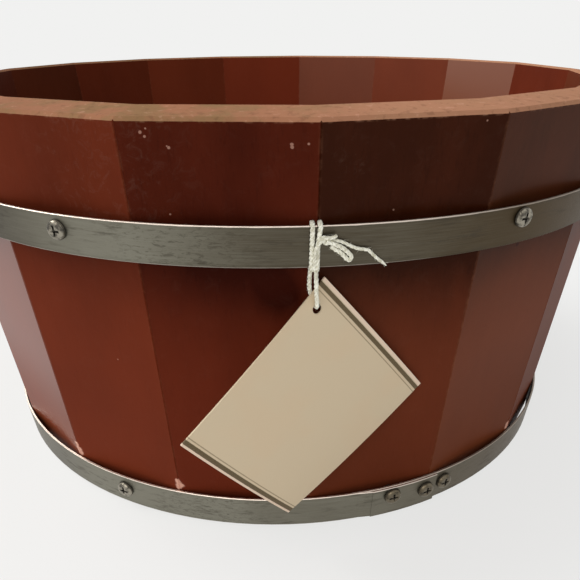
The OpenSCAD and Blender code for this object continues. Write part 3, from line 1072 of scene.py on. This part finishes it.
def make_screw_steel(name, settings, hoop):
    """Plated steel, with painted shade and dirt in the recess and under the head."""
    steel = new_finish(name)
    place = steel.place()
    x, y, z = steel.parts(place)
    side_x, side_y, side_z = steel.parts(steel.facing())
    radius = from_axis(x, y)
    turn = about_axis(x, y)

    # how far a point is above the screw's seat, which is higher on the lap
    lap_start = math.radians(hoop.lap_end - LAP_TURN)
    lap_end = math.radians(hoop.lap_end)
    on_lap = turn.rise(lap_start - LAP_BLUR, lap_start)
    on_lap = on_lap * (1 - turn.rise(lap_end, lap_end + LAP_BLUR))
    seat = STRAP_T * (1 + on_lap) + hoop.gap
    above = (radius - FOOT_R) * math.cos(SLOPE) - z * math.sin(SLOPE) - seat
    outward = (x * side_x + y * side_y) / radius * math.cos(SLOPE) - side_z * math.sin(SLOPE)

    # painted shade and dirt on the recess's floor and walls and round the foot of the head,
    # and dirt in spots
    floor = outward.rise(0.70, 0.85) * (1 - above.rise(*RECESS_FLOOR))
    walls = (1 - abs(outward).rise(0.15, 0.30)) * above.rise(*RECESS_WALLS)
    ring = 1 - above.rise(*HEAD_FOOT)
    cloud = steel.noise(place, scale=500, detail=3, roughness=0.6)
    fine = steel.noise(place, scale=2600, detail=2, roughness=0.6)
    dirt = strongest([floor, walls, ring * 0.95, (cloud - 0.54).rise(0.0, 0.08) * 0.6])
    bright = tuple(settings.screw)
    base = steel.mix(cloud.rise(0.40, 0.58), bright, tinted(bright, 0.5, 0.5, 0.5))
    base = steel.mix(x.rise(*SOILED_FROM) * hoop.soiled, base, SCREW_SOIL)
    # dark colour for dirt, and for painted shade in the recess and under the head
    base = steel.mix(dirt, base, SCREW_DIRT_AND_SHADE)
    return steel.surface(
        Base_Color=base,
        Metallic=1 - dirt * 0.7,
        Roughness=(0.34 + dirt * 0.3 + (fine - 0.5) * 0.25).kept(),
        Normal=steel.bump(fine, depth=0.00004, strength=0.4),
    )


class BUCKET_OT_screws(bpy.types.Operator):
    """Plate the screws"""

    bl_idname = "bucket.screws"
    bl_label = "Screws"

    def execute(self, context):
        settings = context.scene.bucket_steel
        for name, hoop in HOOPS.items():
            dress(name + "_hoop_screws", make_screw_steel(name + "_screws", settings, hoop))
        return {"FINISHED"}


def make_card(settings):
    """Buff card with a broad stripe and a thin line at both ends."""
    card = new_finish("card")
    place = card.place()
    tilt, turn, spin = CARD_TURNS
    stood = Matrix.Rotation(turn, 3, "Z") @ Matrix.Rotation(tilt, 3, "X")
    hung = stood @ Matrix.Rotation(spin, 3, "Z")
    length_way = hung @ Vector((1, 0, 0))
    width_way = hung @ Vector((0, 1, 0))
    up = card.along(place, length_way) - EYE.dot(length_way)
    across = card.along(place, width_way) - EYE.dot(width_way)
    from_ends = (CARD_TOP - up, up - CARD_FOOT)

    ragged = (card.noise(place, scale=2200, detail=2, roughness=0.6) - 0.5) * INK_RAG
    marks = []
    for from_end, (stripe_at, line_at) in zip(from_ends, CARD_LINES):
        half = settings.stripe / 2
        off_stripe = abs(from_end - stripe_at) + ragged
        off_line = abs(from_end - line_at) + ragged
        broad = 1 - off_stripe.rise(half - INK_BLUR, half + INK_BLUR)
        thin = 1 - off_line.rise(settings.rule * 0.3, settings.rule * 0.8)
        marks.append(broad.most(thin * 0.6))
    ink = strongest(marks)

    fibres = card.noise(
        card.joined(up * 3, across, 0.0), scale=1500, detail=3, roughness=0.65
    )
    cloud = card.noise(place, scale=60, detail=2, roughness=0.5)
    paper = tuple(settings.paper)
    base = card.mix(cloud.rise(0.4, 0.6), paper, tinted(paper, 1.01, 0.985, 0.97))
    base = card.mix((fibres - 0.35).kept() * 0.4, base, tinted(paper, 0.82, 0.82, 0.82))
    margin = 1 - from_ends[0].least(from_ends[1]).rise(*MARGIN_TO)
    base = card.mix(margin * 0.9, base, tuple(settings.margin))
    base = card.mix(ink * (0.93 + (fibres - 0.5) * 0.3), base, tuple(settings.ink))
    return card.surface(
        Base_Color=base,
        Roughness=(0.78 - ink * 0.12).kept(),
        Specular_IOR_Level=0.3,
        Normal=card.bump(fibres * 0.6 + cloud * 0.4, depth=0.00006, strength=0.6),
    )


class BUCKET_OT_tag(bpy.types.Operator):
    """Give the tag its card and its stripes"""

    bl_idname = "bucket.tag"
    bl_label = "Tag"

    def execute(self, context):
        dress("hang_tag", make_card(context.scene.bucket_card))
        return {"FINISHED"}


def add_lamp(name, power, place, size, tint):
    """A large soft lamp that faces the bucket."""
    data = bpy.data.lights.new(name, "AREA")
    data.shape = "RECTANGLE"
    data.size, data.size_y = size
    data.energy = power
    data.color = tint
    lamp = bpy.data.objects.new(name, data)
    lamp.location = place
    away = Vector(place) - Vector(LAMP_TARGET)
    lamp.rotation_mode = "QUATERNION"
    lamp.rotation_quaternion = away.to_track_quat("Z", "Y")
    bpy.context.scene.collection.objects.link(lamp)


def backdrop_shown(finish):
    """1 on the rays that show the backdrop, and 0 on those that light the bucket."""
    rays = finish.add("ShaderNodeLightPath").socket.node.outputs
    seen = Value(finish, rays["Is Camera Ray"]) + Value(finish, rays["Is Glossy Ray"])
    return (seen + Value(finish, rays["Is Transmission Ray"])).kept()


def make_floor_paint(backdrop):
    """Pale paint that keeps the bucket's shadow, most of all beside it."""
    paint = new_finish("floor_paint")
    x, y, _ = paint.parts(paint.place())
    far = from_axis(x, y).rise(*FLOOR_FADE)
    lit = paint.add("ShaderNodeBsdfDiffuse", values={"Color": backdrop})
    glow = paint.add("ShaderNodeEmission", values={"Color": backdrop, "Strength": 1.0})
    shown = backdrop_shown(paint) * (FLOOR_SHOWN + (1 - FLOOR_SHOWN) * far)
    surface = paint.add("ShaderNodeMixShader", values={0: shown, 1: lit, 2: glow})
    paint.add("ShaderNodeOutputMaterial", values={"Surface": surface})
    return paint.owner


def make_floor():
    """A level round floor under the bucket."""
    verts, faces = [Vector((0, 0, 0))], []
    for radius in FLOOR_RINGS:
        for k in range(FLOOR_PARTS):
            a = math.tau * k / FLOOR_PARTS
            verts.append(Vector((radius * math.cos(a), radius * math.sin(a), 0)))
    for k in range(FLOOR_PARTS):
        faces.append((0, 1 + k, 1 + (k + 1) % FLOOR_PARTS))
    for ring in range(len(FLOOR_RINGS) - 1):
        for k in range(FLOOR_PARTS):
            a = 1 + ring * FLOOR_PARTS + k
            b = 1 + ring * FLOOR_PARTS + (k + 1) % FLOOR_PARTS
            faces.append((a, a + FLOOR_PARTS, b + FLOOR_PARTS, b))
    mesh = bpy.data.meshes.new("floor")
    mesh.from_pydata([tuple(v) for v in verts], [], faces)
    return bpy.data.objects.new("floor", mesh)


class BUCKET_OT_stage(bpy.types.Operator):
    """Lay the pale floor, and set the lamps and the backdrop"""

    bl_idname = "bucket.stage"
    bl_label = "Stage"

    def execute(self, context):
        settings = context.scene.bucket_stage
        backdrop = tuple(settings.backdrop)
        floor = make_floor()
        floor.data.materials.append(make_floor_paint(backdrop))
        context.scene.collection.objects.link(floor)

        world = bpy.data.worlds.new("world")
        context.scene.world = world
        sky = Finish(world)
        white = {"Color": (1, 1, 1, 1), "Strength": settings.sky}
        soft = sky.add("ShaderNodeBackground", values=white)
        plain = sky.add("ShaderNodeBackground", values={"Color": backdrop, "Strength": 1.0})
        both = sky.add(
            "ShaderNodeMixShader", values={0: backdrop_shown(sky), 1: soft, 2: plain}
        )
        sky.add("ShaderNodeOutputWorld", values={"Surface": both})

        add_lamp("key", settings.key, *KEY_LAMP)
        add_lamp("fill", settings.fill, *FILL_LAMP)
        context.scene.view_settings.view_transform = "Standard"
        return {"FINISHED"}


OPERATORS = (
    BUCKET_OT_camera,
    BUCKET_OT_string,
    BUCKET_OT_staves,
    BUCKET_OT_bottom,
    BUCKET_OT_hoops,
    BUCKET_OT_screws,
    BUCKET_OT_tag,
    BUCKET_OT_stage,
)


class BUCKET_PT_pieces(bpy.types.Panel):
    """The bucket's pieces and their settings"""

    bl_idname = "BUCKET_PT_pieces"
    bl_label = "Wooden Bucket"
    bl_space_type = "VIEW_3D"
    bl_region_type = "UI"
    bl_category = "Bucket"

    def draw(self, context):
        for operator in OPERATORS:
            self.layout.operator(operator.bl_idname)
        for name, group in SETTINGS.items():
            box = self.layout.box()
            box.label(text=group.__doc__)
            for prop in group.__annotations__:
                box.prop(getattr(context.scene, name), prop)


CLASSES = (*SETTINGS.values(), *OPERATORS, BUCKET_PT_pieces)


def register():
    """Adds the classes and the bucket's settings to Blender."""
    for item in CLASSES:
        bpy.utils.register_class(item)
    for name, group in SETTINGS.items():
        setattr(bpy.types.Scene, name, bpy.props.PointerProperty(type=group))


def unregister():
    """Takes them out again."""
    for name in SETTINGS:
        delattr(bpy.types.Scene, name)
    for item in reversed(CLASSES):
        bpy.utils.unregister_class(item)


def main():
    """Makes each piece in order."""
    register()
    for operator in OPERATORS:
        group, name = operator.bl_idname.split(".")
        if getattr(getattr(bpy.ops, group), name)() != {"FINISHED"}:
            raise RuntimeError(f"{operator.bl_label} didn't finish")


if __name__ == "__main__":
    main()
